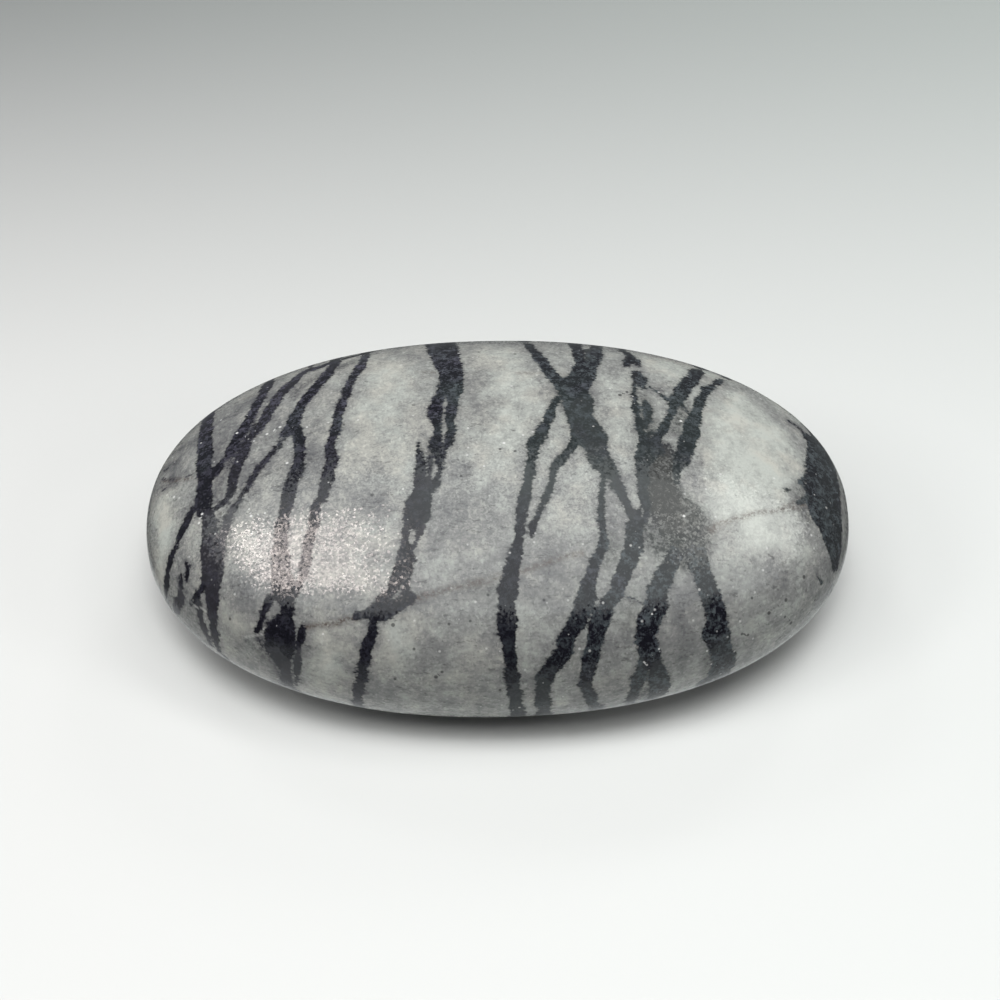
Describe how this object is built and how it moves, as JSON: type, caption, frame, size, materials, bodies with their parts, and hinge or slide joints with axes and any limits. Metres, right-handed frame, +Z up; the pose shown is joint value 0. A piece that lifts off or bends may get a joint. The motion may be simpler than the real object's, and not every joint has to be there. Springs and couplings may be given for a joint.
{
  "type": "pocket stone",
  "caption": "Flat oval pocket stone of pale grey jasper crossed by dark branching veins, tumbled smooth and polished, lying flat.",
  "frame": {"origin": "middle of the small flat seat on the underside, at the centre of the footprint", "axes": "+X along the stone's long axis, +Y across it away from the front, +Z up through its thinnest direction"},
  "size_m": [0.06, 0.0404, 0.0202],
  "materials": {
    "jasper": "tumbled and polished, satin gloss with fine sparkling grain"
  },
  "bodies": {
    "root": {"stone": "jasper"}
  },
  "joints": []
}
